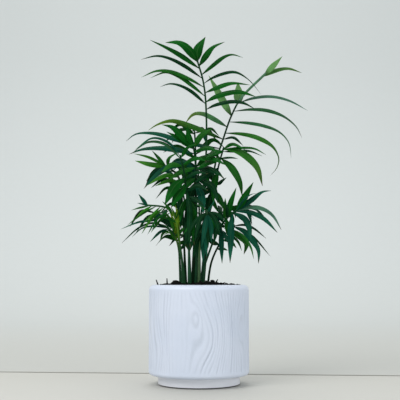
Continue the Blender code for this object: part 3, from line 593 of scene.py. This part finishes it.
def lay_out_arching(name, foot, heading, out, height, bare, pairs, longest):
    """Works out a frond that rises and arches away, with its leaflets in pairs."""
    draw = random.Random(name)

    def varied(key):
        return draw.uniform(-ARCH_VARIES[key], ARCH_VARIES[key])

    turn = radians(heading)
    ahead = Vector((sin(turn), cos(turn), 0.0))
    aside = Vector((cos(turn), -sin(turn), 0.0))
    upwards = Vector((0.0, 0.0, 1.0))
    start = Vector((*foot, SOIL_LINE))
    rise = upwards * (height - SOIL_LINE)
    guide = [start + ahead * out * forth + rise * high for forth, high in ARCH_STEM]
    flat = curve_through(guide, STEM_STEP / MM)
    rows = []
    for pair in range(pairs):
        place = (pair + ARCH_FIRST) / (pairs - 1 + ARCH_FIRST)
        for side in (-1, 1):
            share = min(1.0, bare + (1 - bare) * place + ARCH_STAGGER * side)
            root = along(flat, share)
            ahead_of = along(flat, min(1.0, share + ARCH_STAGGER))
            forward = (ahead_of - along(flat, share - ARCH_STAGGER)).normalized()
            splay = radians(ARCH_SPLAY[0] + ARCH_SPLAY[1] * (pair + 1) / pairs + varied("splay"))
            full = sin(pi * (pair + 1) / (pairs + 1))
            length = longest * (ARCH_SHORTEST + (1 - ARCH_SHORTEST) * full) * (1 + varied("length"))
            way = aside * side * cos(splay) + forward * sin(splay)
            tip = root + way * length - upwards * (ARCH_DROOP + varied("droop"))
            middle = root.lerp(tip, ARCH_BOW_PLACE) + upwards * (ARCH_BOW + varied("bow"))
            face = ahead * ARCH_FACING[0] + upwards * ARCH_FACING[1] + aside * side * ARCH_FACING[2]
            rows.append({"root": root, "course": [middle, tip],
                         "width": (ARCH_WIDTH + varied("width")) * MM, "face": face.normalized()})
    return new_frond(name, guide, rows)


def tip_shifts():
    """Changes of depth and height that a leaflet's tip may have, the smallest first."""
    steps = sorted(range(DEPTH_STEPS, -DEPTH_STEPS - 1, -1), key=abs)
    return [Vector((0.0, step * DEPTH_STEP, lift)) for lift in LIFTS for step in steps]


def bend_leaflets(frond):
    """Bends each leaflet's tip to the middle of its solid's end, where the corners are evenly far."""
    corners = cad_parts[frond["name"]].data.vertices
    tree = KDTree(len(corners))
    for corner in corners:
        tree.insert(corner.co, corner.index)
    tree.balance()

    def unevenness(tip):
        distances = [found[2] for found in tree.find_n(seen(tip), TIP_CORNERS)]
        return max(distances) - min(distances)

    for row in frond["leaflets"]:
        tip = row["course"][-1]
        row["shift"] = min(tip_shifts(), key=lambda shift: unevenness(tip + shift))


def set_inputs(tree, made, values):
    """Sets a node's inputs, with a link where a value comes from another node."""
    for key, value in values.items():
        if isinstance(value, bpy.types.NodeSocket):
            tree.links.new(value, made.inputs[key])
        else:
            made.inputs[key].default_value = (*value, 1.0) if isinstance(value, tuple) else value


def node(tree, kind, inputs=None, **settings):
    """A shader node with its settings and inputs."""
    made = tree.nodes.new("ShaderNode" + kind)
    for key, value in settings.items():
        setattr(made, key, value)
    set_inputs(tree, made, inputs or {})
    return made


def calc(tree, operation, *values):
    """The result of one Math node."""
    return node(tree, "Math", dict(enumerate(values)), operation=operation).outputs[0]


def mapped(tree, value, *ends):
    """A value carried smoothly from a low and a high end to another low and high end."""
    inputs = dict(enumerate((value, *ends)))
    return node(tree, "MapRange", inputs, interpolation_type="SMOOTHSTEP").outputs[0]


def mixed(tree, share, first, second, blend="MIX"):
    """The result of one colour Mix node."""
    inputs = {0: share, 6: first, 7: second}
    return node(tree, "Mix", inputs, data_type="RGBA", blend_type=blend).outputs[2]


def noise_of(tree, coordinates, scale, detail, roughness=0.5):
    """The grey value of one Noise Texture."""
    inputs = {"Vector": coordinates, "Scale": scale, "Detail": detail, "Roughness": roughness}
    return node(tree, "TexNoise", inputs).outputs[0]


def new_material(name):
    """An empty material with its tree and its object coordinates."""
    made = bpy.data.materials.new(name)
    made.use_nodes = True
    return made, made.node_tree, node(made.node_tree, "TexCoord").outputs["Object"]


def finish_material(made, colour, roughness, gloss, relief=None):
    """Gives a material its colour, roughness, gloss and relief, as (height, strength, distance)."""
    tree = made.node_tree
    values = {"Base Color": colour, "Roughness": roughness, "Specular IOR Level": gloss}
    if relief:
        inputs = dict(zip(("Height", "Strength", "Distance"), relief))
        values["Normal"] = node(tree, "Bump", inputs).outputs[0]
    set_inputs(tree, tree.nodes["Principled BSDF"], values)
    return made


def leaf_material(name, roughness, gloss):
    """A leaf or stalk: its own colour from the mesh, with veins, mottling and dry tips."""
    made, tree, place = new_material(name)
    hue = node(tree, "Attribute", attribute_name="hue").outputs["Color"]
    dry = node(tree, "Attribute", attribute_name="dry").outputs["Fac"]
    chart = node(tree, "UVMap", uv_map="blade").outputs[0]
    across = node(tree, "SeparateXYZ", {0: chart}).outputs[1]
    wave = calc(tree, "PINGPONG", calc(tree, "MULTIPLY", across, VEINS), 0.5)
    vein = mapped(tree, wave, 0.0, VEIN_WIDTH, 1.0, 0.0)
    centre = calc(tree, "ABSOLUTE", calc(tree, "SUBTRACT", across, 0.5))
    midrib = mapped(tree, centre, 0.0, MIDRIB_WIDTH, 1.0, 0.0)
    fine = noise_of(tree, place, 420.0, 3.0, 0.6)
    shade = mapped(tree, noise_of(tree, place, 48.0, 2.0), *NOISE_SPAN, *LEAF_MOTTLE)
    grey = node(tree, "CombineColor", {0: shade, 1: shade, 2: shade}).outputs[0]
    body = mixed(tree, 1.0, hue, grey, "MULTIPLY")
    veined = mixed(tree, calc(tree, "MULTIPLY", vein, VEIN_SHARE), body, VEIN_HUE)
    ribbed = mixed(tree, calc(tree, "MULTIPLY", midrib, MIDRIB_SHARE), veined, MIDRIB_HUE)
    tipped = mixed(tree, dry, ribbed, DRY_TIP)
    rough = mapped(tree, fine, *NOISE_SPAN, roughness - 0.07, roughness + 0.1)
    height = calc(tree, "ADD", calc(tree, "MULTIPLY", vein, -0.6), calc(tree, "MULTIPLY", fine, 0.5))
    return finish_material(made, tipped, rough, gloss, (height, *LEAF_RELIEF))


def glaze_material():
    """White satin glaze, with painted shade in the carved grain, a painted contact shadow round the foot's
    bottom edge, and soft pinholes and ripples.
    """
    made, tree, place = new_material("satin_white_glaze")
    groove = node(tree, "Attribute", attribute_name="groove").outputs["Fac"]
    broad = noise_of(tree, place, 16.0, 2.0)
    fine = noise_of(tree, place, 520.0, 2.0, 0.6)
    white = mixed(tree, mapped(tree, broad, 0.35, 0.65, 0.0, 1.0), *GLAZE_HUES)
    # Painted shade: the glaze darkens in the carved grooves
    groove_shaded = mixed(tree, calc(tree, "MULTIPLY", groove, GROOVE_SHADE_SHARE), white, GROOVE_SHADE_HUE)
    up = node(tree, "SeparateXYZ", {0: place}).outputs[2]
    bare = mapped(tree, up, FOOT_HEIGHT - GLAZE_EDGE, FOOT_HEIGHT + GLAZE_EDGE, 1.0, 0.0)
    footed = mixed(tree, bare, groove_shaded, FOOT_HUE)
    # Painted contact shadow: the foot's bottom edge turns near black where the pot meets the floor
    contact_shadow = mapped(tree, up, FOOT_EDGE * 0.7, FOOT_EDGE * 1.3, 1.0, 0.0)
    colour = mixed(tree, contact_shadow, footed, CONTACT_SHADOW_HUE)
    rough = mapped(tree, fine, *NOISE_SPAN, *GLAZE_ROUGHNESS)
    height = calc(tree, "ADD", calc(tree, "MULTIPLY", fine, 0.4), calc(tree, "MULTIPLY", broad, 0.8))
    return finish_material(made, colour, rough, GLAZE_GLOSS, (height, *GLAZE_RELIEF))


def soil_material():
    """Damp potting soil: near black, with browner crumbs."""
    made, tree, place = new_material("dark_potting_soil")
    crumb = node(tree, "TexVoronoi", {"Vector": place, "Scale": 380.0}).outputs["Distance"]
    fine = noise_of(tree, place, 900.0, 4.0, 0.7)
    broad = noise_of(tree, place, 150.0, 3.0)
    dark = mixed(tree, mapped(tree, broad, 0.35, 0.65, 0.0, 1.0), *SOIL_HUES)
    flecked = mixed(tree, mapped(tree, fine, 0.60, 0.72, 0.0, 0.8), dark, FLECK_HUE)
    rough = mapped(tree, fine, *NOISE_SPAN, *SOIL_ROUGHNESS)
    height = calc(tree, "ADD", crumb, fine)
    return finish_material(made, flecked, rough, SOIL_GLOSS, (height, *SOIL_RELIEF))


def stage_material(name, near, far, reach, roughness):
    """A plain pale surface that changes slowly with its distance behind the plant."""
    made, tree, place = new_material(name)
    behind = node(tree, "SeparateXYZ", {0: place}).outputs[1]
    speckle = calc(tree, "MULTIPLY", noise_of(tree, place, 60.0, 3.0, 0.6), 0.1)
    share = calc(tree, "ADD", mapped(tree, behind, *reach, 0.0, 0.9), speckle)
    return finish_material(made, mixed(tree, share, near, far), roughness, STAGE_GLOSS)


def add_object(name, data):
    """An object in the scene."""
    made = bpy.data.objects.new(name, data)
    bpy.context.scene.collection.objects.link(made)
    return made


def add_piece(name, vertices, faces, surface, corners=None, numbers=None, colours=None):
    """A closed, smooth mesh object with its chart and its attributes."""
    mesh = bpy.data.meshes.new(name)
    mesh.from_pydata([tuple(v) for v in vertices], [], faces)
    if corners:
        chart = mesh.uv_layers.new(name="blade")
        chart.data.foreach_set("uv", [c for face in corners for pair in face for c in pair])
    for key, values in (numbers or {}).items():
        mesh.attributes.new(key, "FLOAT", "POINT").data.foreach_set("value", values)
    if colours:
        flat = [c for colour in colours for c in colour]
        mesh.attributes.new("hue", "FLOAT_VECTOR", "POINT").data.foreach_set("vector", flat)
    mesh.materials.append(surface)
    return add_object(name, mesh)


def finish_piece(made, node_name, sharp):
    """Smooths a piece, keeps its sharp edges, gives it its body, and hides the CAD node that it stands in
    for.
    """
    made.data.shade_smooth()
    made.data.set_sharp_from_angle(angle=radians(sharp))
    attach(made, "root")
    if node_name:
        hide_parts(node_name)


def nearness(angle, height, where, middle, wide, tall):
    """How near a place on the pot's wall is to a spot of a given size, from 0 to 1."""
    off = (angle - radians(where) + pi) % tau - pi
    across, up = off * (POT_WIDTH / 2) / MM, height / MM - middle
    return exp(-((across / wide) ** 2) - (up / tall) ** 2)


def grain(angle, height):
    """Depth of the carved wood grain on the pot's wall, from 0 to 1."""
    x, y = POT_WIDTH / 2 * cos(angle), POT_WIDTH / 2 * sin(angle)
    drift = 0.0
    for scale, upright, lines, offset in GRAIN_SWAYS:
        drift += noise.noise(Vector((x * scale + offset, y * scale, height * upright))) * lines
    for *spot, rise in GRAIN_EYES:
        drift += rise * nearness(angle, height, *spot)
    phase = GRAIN_LINES * angle / tau + drift
    line = phase // 1
    step = abs(phase - line - 0.5) / GRAIN_HALF
    groove = max(0.0, 1 - step**2) ** 2
    own = GRAIN_MEAN + GRAIN_VARIES * sin(line * 2.4) * cos(line * 5.3 + 1)
    fade = 0.60 + 0.95 * noise.noise(Vector((x * 30, y * 30 + 5, height * 20 + line * 0.7)))
    calm = 1.0
    for *spot, share in GRAIN_CALMS:
        calm -= share * nearness(angle, height, *spot)
    return groove * own * min(1.0, max(GRAIN_FAINTEST, fade)) * max(0.0, calm)


def turned_faces(rings, sides):
    """Faces of a turned shape. Its first two points are the middles of its ends."""
    faces = []
    for side in range(sides):
        here = range(2 + side, 2 + rings * sides, sides)
        there = range(2 + (side + 1) % sides, 2 + rings * sides, sides)
        faces += [(0, there[0], here[0]), (1, here[-1], there[-1])]
        faces += zip(here, there, there[1:], here[1:])
    return faces


def make_pot():
    """The planter, with wood grain carved into its wall."""
    profile = pot_profile()
    vertices = [Vector((0.0, 0.0, profile[0][1])), Vector((0.0, 0.0, profile[-1][1]))]
    depths = [0.0, 0.0]
    rings = profile[1:-1]
    for radius, height, share in rings:
        for angle in turns(POT_SIDES):
            depth = share * grain(angle, height) if share else 0.0
            out = radius - depth * GRAIN_DEPTH
            vertices.append(Vector((out * cos(angle), out * sin(angle), height)))
            depths.append(depth)
    faces = turned_faces(len(rings), POT_SIDES)
    made = add_piece("planter", vertices, faces, glaze_material(), numbers={"groove": depths})
    finish_piece(made, "pot", POT_SHARP)


def soil_height(x, y):
    """Height of the soil's top: a low mound with lumps and a few higher crumbs."""
    out = hypot(x, y) / (RIM_OPENING / 2)
    spot = Vector((x, y, 0.0))
    lump = sum(noise.noise(spot * scale) * rise for scale, rise in SOIL_LUMPS)
    lump += abs(noise.noise(spot * SOIL_GRIT[0])) * SOIL_GRIT[1]
    heap = 0.0
    for across, depth, reach, rise in SOIL_HEAPS:
        heap += rise * exp(-((x / MM - across) ** 2 + (y / MM - depth) ** 2) / reach**2)
    inside = max(0.0, 1 - out**6)
    return SOIL_EDGE + SOIL_MOUND * (1 - out**2) + (lump * 0.9 + heap) * MM * inside


def make_soil(surface):
    """The soil that fills the pot, lumpy on top."""
    top = RIM_OPENING / 2 - GAP * 2
    floor = CAVITY_FLOOR + GAP
    vertices = [Vector((0.0, 0.0, floor)), Vector((0.0, 0.0, soil_height(0.0, 0.0)))]
    radii = [top - CAVITY_TAPER, *(top * (1 - i / SOIL_RINGS) for i in range(SOIL_RINGS))]
    for level, radius in enumerate(radii):
        for angle in turns(SOIL_SIDES):
            x, y = radius * cos(angle), radius * sin(angle)
            vertices.append(Vector((x, y, soil_height(x, y) if level else floor)))
    made = add_piece("potting_soil", vertices, turned_faces(len(radii), SOIL_SIDES), surface)
    finish_piece(made, "soil", SOIL_SHARP)


def make_crumbs(surface):
    """Loose crumbs and bits of bark on the soil, and a few short sticks."""
    draw = random.Random("crumbs")
    gathered = bmesh.new()
    for _ in range(CRUMBS):
        out = RIM_OPENING / 2 * CRUMB_REACH * sqrt(draw.random())
        turn = draw.uniform(0, tau)
        x, y = out * cos(turn), out * sin(turn)
        size = draw.uniform(*CRUMB_SIZES) * MM
        made = bmesh.ops.create_icosphere(gathered, subdivisions=2, radius=size)
        stretch = Vector(draw.uniform(*span) for span in CRUMB_STRETCHES)
        seed = draw.uniform(0, 50)
        for vertex in made["verts"]:
            rough = 1 + CRUMB_ROUGHNESS * noise.noise(vertex.co * 900 + Vector((seed, 0, 0)))
            vertex.co = Vector(c * s * rough for c, s in zip(vertex.co, stretch))
            vertex.co += Vector((x, y, soil_height(x, y) + size * CRUMB_LIFT))
    for foot, tip, radius in STICKS:
        line = [Vector(foot) * MM, Vector(foot).lerp(Vector(tip), 0.5) * MM, Vector(tip) * MM]
        points, faces = tube(line, [radius * MM, radius * MM, radius * MM * STICK_TIP], STICK_SIDES)
        made = [gathered.verts.new(p) for p in points]
        for face in faces:
            gathered.faces.new([made[i] for i in face])
    mesh = bpy.data.meshes.new("soil_crumbs")
    gathered.to_mesh(mesh)
    gathered.free()
    mesh.materials.append(surface)
    finish_piece(add_object("soil_crumbs", mesh), None, CRUMB_SHARP)


def eased(value, start, span):
    """Share of a span that a value has run, from 0 to 1, eased at both ends."""
    t = min(1.0, max(0.0, (value - start) / span))
    return t * t * (3 - 2 * t)


def between(rows, share):
    """Value at a share in a table of (share, value) rows."""
    for (a, low), (b, high) in zip(rows, rows[1:]):
        if share <= b:
            return low + (high - low) * (share - a) / (b - a)
    return rows[-1][1]


def blend3(first, second, share):
    """A colour between two."""
    return tuple(a + (b - a) * share for a, b in zip(first, second))


def linear(colours):
    """Colours from their thousandths."""
    return [tuple(c / 1000 for c in colour) for colour in colours]


def join_parts(parts):
    """Points, faces, chart, colours and dryness of a frond's parts.

    A part is its rings of points, a colour and a dryness for each, and the places across it.
    """
    vertices, faces, corners, hues, dry = [], [], [], [], []
    for rings, ring_hues, ring_dry, chart in parts:
        sides, last = len(chart) - 1, len(rings) - 1
        faces += closed_faces(len(vertices), len(rings), sides)
        vertices += [point for ring in rings for point in ring]
        hues += [hue for hue in ring_hues for _ in range(sides)]
        dry += [share for share in ring_dry for _ in range(sides)]
        for ring in range(last):
            low, high = ring / last, (ring + 1) / last
            for here, there in zip(chart, chart[1:]):
                corners.append(((low, here), (low, there), (high, there), (high, here)))
        corners.append(tuple((0.0, place) for place in chart[-2::-1]))
        corners.append(tuple((1.0, place) for place in chart[:-1]))
    return vertices, faces, corners, hues, dry


def grow_stem(frond, colours, sheath, swell):
    """The stalk, with a swollen sheath at its foot, and the rachis that it becomes."""
    line = frond["stem"]
    foot, middle, high, tip = colours
    spans = [0.0]
    for a, b in zip(line, line[1:]):
        spans.append(spans[-1] + (b - a).length)
    radii, hues = [], []
    for point, run in zip(line, spans):
        share = run / spans[-1]
        above_soil = point.z - SOIL_LINE * MM
        radius = STEM_RADIUS + (STEM_TIP_RADIUS - STEM_RADIUS) * share
        radius += sheath * (1 - eased(above_soil, 0.0, SHEATH_LENGTH))
        radii.append(radius + swell * eased(share, TIP_FROM, TIP_SWELL_SPAN))
        hue = blend3(foot, middle, eased(above_soil, *SHEATH_FADE))
        hue = blend3(hue, high, eased(share, *STALK_FADE) * eased(above_soil, *LOW_STALK_FADE))
        hues.append(blend3(hue, tip, eased(share, TIP_FROM, TIP_FADE_SPAN)))
    chart = [i / FINE_SIDES for i in range(FINE_SIDES + 1)]
    return list(rings_along(line, radii, FINE_SIDES)), hues, [0.0] * len(line), chart


def grow_leaflet(row, colours, fuller, tail, root, draw):
    """One leaflet: a tented, faintly pleated blade with a long fine tip."""
    line = leaflet_line(row, row["shift"], [i / LEAF_STEPS for i in range(LEAF_STEPS + 1)])
    body, end = colours
    twist = radians(draw.uniform(-LEAF_TWIST, LEAF_TWIST))
    ripple = draw.uniform(0, tau)
    scorch = draw.uniform(*SCORCH_FROM)
    bright = draw.uniform(*LEAF_BRIGHTNESS)
    places = [2 * j / LEAF_ACROSS - 1 for j in range(LEAF_ACROSS + 1)]
    rings, hues, dries = [], [], []
    for i, (point, tangent) in enumerate(zip(line, directions(line))):
        share = i / LEAF_STEPS
        half = fuller * row["width"] * between(LEAF_WIDTHS, share) / 2
        half *= 1 - tail * eased(share, *TAIL_RUN)
        side = tangent.cross(row["face"]).normalized()
        up = side.cross(tangent)
        turn = twist * (share - TWIST_PLACE)
        side, up = side * cos(turn) + up * sin(turn), up * cos(turn) - side * sin(turn)
        fold = LEAF_FOLD * (1 - TIP_FLATTER * share)
        thick = LEAF_THICKNESS * (1 - TIP_THINNER * share)
        top, under = [], []
        for v in places:
            wave = RIPPLE * half * sin(ripple + share * 9 + (2.2 if v > 0 else 0.0)) * abs(v) ** 3
            lift = half * (LEAF_PLEAT * cos(3 * pi * v) - fold * abs(v)) + wave
            across = point + side * half * v + up * lift
            deep = up * thick * (1 - EDGE_THINNER * v * v) / 2
            top.append(across + deep)
            under.append(across - deep)
        rings.append([*top, *reversed(under[1:-1])])
        # Painted shade: the leaflet darkens towards its root at the rachis
        own = bright * (1 - root * (1 - eased(share, 0.0, ROOT_SHADE_REACH)))
        hues.append(tuple(c * own for c in blend3(body, end, eased(share, *BLADE_FADE))))
        dries.append(DRYNESS * eased(share, scorch, SCORCH_SPAN))
    chart = [j / LEAF_ACROSS for j in range(LEAF_ACROSS + 1)]
    return rings, hues, dries, chart + chart[-2:0:-1] + [0.0]


def make_frond(frond, surface):
    """One frond: its stalk, rachis and leaflets, in place of its CAD node."""
    name = frond["name"]
    draw = random.Random(name + " leaves")
    stalk = linear(STALK_COLOURS[frond["stalk"]])
    parts = [grow_stem(frond, stalk, SHEATH_SWELLS.get(name, SHEATH_SWELL), TIP_SWELLS.get(name, 0.0))]
    tints = frond["tints"].split() or [draw.choice(BACK_TINTS) for _ in frond["leaflets"]]
    for i, (row, tint) in enumerate(zip(frond["leaflets"], tints, strict=True)):
        tail = FINE_TAILS.get(name, {}).get(i, 0.0)
        fuller = FULLER_BLADES.get(name, 1.0) * (BROADER if (name, i) == BROAD_LEAFLET else 1.0)
        # Painted shade that the leaflet takes at its root
        root = ROOT_SHADES.get(name, 0.0)
        parts.append(grow_leaflet(row, linear(LEAF_COLOURS[tint]), fuller, tail, root, draw))
    vertices, faces, corners, hues, dry = join_parts(parts)
    made = add_piece(name + "_grown", vertices, faces, surface, corners, {"dry": dry}, hues)
    finish_piece(made, name, FROND_SHARP)


def add_stage_object(name, vertices, faces, surfaces):
    """A piece of the stage. Its last surface runs on over the faces that are left."""
    mesh = bpy.data.meshes.new(name)
    mesh.from_pydata(vertices, [], faces)
    for surface in surfaces:
        mesh.materials.append(surface)
    for face in mesh.polygons:
        face.material_index = min(face.index, len(surfaces) - 1)
    made = add_object(name, mesh)
    return made


def make_stage():
    """A plain pale floor, a thin joint behind the pot, and a paler ground that runs up far behind."""
    floor, wall, joint = (stage_material(name, *look) for name, look in STAGE_LOOKS.items())
    left, right = JOINT_PLACES
    levels = [(-FLOOR_FRONT, -FLOOR_FRONT, 0.0), (left, right, 0.0)]
    for i in range(SWEEP_STEPS + 1):
        angle = pi / 2 * i / SWEEP_STEPS
        y = WALL_PLACE - SWEEP * (1 - sin(angle))
        levels.append((y, y, SWEEP * (1 - cos(angle))))
    levels.append((WALL_PLACE, WALL_PLACE, FLOOR_REACH))
    vertices = [(x, y, z) for a, b, z in levels for x, y in ((-FLOOR_REACH, a), (FLOOR_REACH, b))]
    faces = [(i, i + 1, i + 3, i + 2) for i in range(0, len(vertices) - 2, 2)]
    sweep = add_stage_object("floor_and_wall", vertices, faces, (floor, wall))
    sweep.data.shade_smooth()
    middle, slope = (left + right) / 2, (right - left) / 2
    strip = []
    for x, nearer in ((-1, 0.0), (1, 0.0), (1, JOINT_WIDTH), (-1, JOINT_WIDTH)):
        strip.append((x * JOINT_REACH, middle + slope * x * JOINT_REACH / FLOOR_REACH + nearer, JOINT_LIFT))
    add_stage_object("floor_joint", strip, [(0, 1, 2, 3)], (joint,))


def make_lights():
    """Soft studio light: a broad key from the upper left, a weak fill and an even surround."""
    for name, place, aim, size, power, colour in LIGHTS:
        data = bpy.data.lights.new(name, "AREA")
        data.shape = "SQUARE"
        data.size = size
        data.energy = power
        data.color = colour
        made = add_object(name, data)
        made.location = place
        made.rotation_mode = "QUATERNION"
        made.rotation_quaternion = (Vector(aim) - Vector(place)).to_track_quat("-Z", "Y")
    world = bpy.data.worlds.new("surround")
    bpy.context.scene.world = world
    world.use_nodes = True
    back = world.node_tree.nodes["Background"]
    back.inputs["Color"].default_value = (*SURROUND, 1.0)
    back.inputs["Strength"].default_value = SURROUND_STRENGTH
    bpy.context.scene.view_settings.view_transform = "Standard"


def make_camera():
    """The camera, where the photograph was taken from."""
    data = bpy.data.cameras.new("camera")
    data.sensor_width = SENSOR_WIDTH
    data.lens = SENSOR_WIDTH * FOCAL_LENGTH / PICTURE_WIDTH
    data.dof.use_dof = False
    made = add_object("camera", data)
    made.location = EYE
    made.rotation_euler = (radians(90) + atan(HORIZON_DROP / FOCAL_LENGTH), 0.0, 0.0)
    bpy.context.scene.camera = made


def main():
    make_camera()
    make_lights()
    make_stage()
    make_pot()
    soil = soil_material()
    make_soil(soil)
    make_crumbs(soil)
    fronds = [lay_out_drawn(*row) for row in DRAWN_FRONDS]
    fronds += [lay_out_arching(*row) for row in ARCHING_FRONDS]
    leaves = {kind: leaf_material("palm_" + kind, *look) for kind, look in LEAF_LOOKS.items()}
    for frond in fronds:
        bend_leaflets(frond)
        kind = "pale_green" if frond["name"] == PALE_FROND else "green"
        make_frond(frond, leaves[kind])


main()
